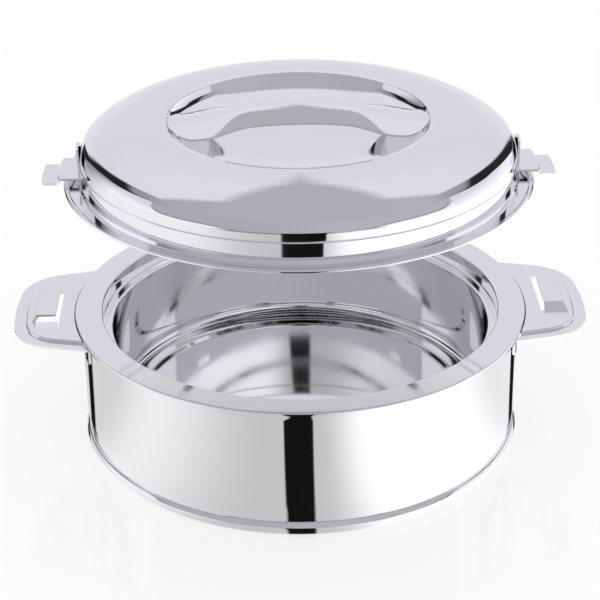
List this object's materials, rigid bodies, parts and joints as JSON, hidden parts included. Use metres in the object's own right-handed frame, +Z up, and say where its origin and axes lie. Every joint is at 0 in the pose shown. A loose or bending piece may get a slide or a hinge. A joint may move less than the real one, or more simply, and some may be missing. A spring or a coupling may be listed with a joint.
{
  "type": "insulated food casserole",
  "caption": "Round double-walled steel casserole that keeps flatbread warm, with two pressed side handles and a domed lift-off lid that twists to lock.",
  "frame": {"origin": "middle of the foot ring's bottom plane, on the table under the bowl's axis", "axes": "+Z up along the bowl's axis, X through the two side handles, -Y towards the viewer of the picture"},
  "size_m": [0.3164, 0.252, 0.1932],
  "materials": {
    "steel_body": "polished",
    "steel_pot": "polished",
    "steel_lid": "polished",
    "steel_fittings": "polished",
    "foam": "matte",
    "plug_plastic": "matte"
  },
  "bodies": {
    "base": {"outer_shell": "steel_body", "bottom_cover": "steel_body", "filler_plug": "plug_plastic", "inner_pot": "steel_pot", "body_insulation": "foam", "left_handle": "steel_fittings", "right_handle": "steel_fittings"},
    "lid_core": {"lid_liner": "steel_pot"},
    "lid": {"lid_shell": "steel_lid", "lid_handle": "steel_fittings", "left_lock_lug": "steel_fittings", "right_lock_lug": "steel_fittings"}
  },
  "joints": [
    {"name": "lid_lift", "type": "slide", "parent": "base", "child": "lid_core", "axis": [0, 0, 1], "range_m": [-0.0772, 0]},
    {"name": "lid_twist", "type": "hinge", "parent": "lid_core", "child": "lid", "pos_m": [0, 0, 0.1535], "axis": [0, 0, 1], "range_deg": [0, 13.6]}
  ]
}
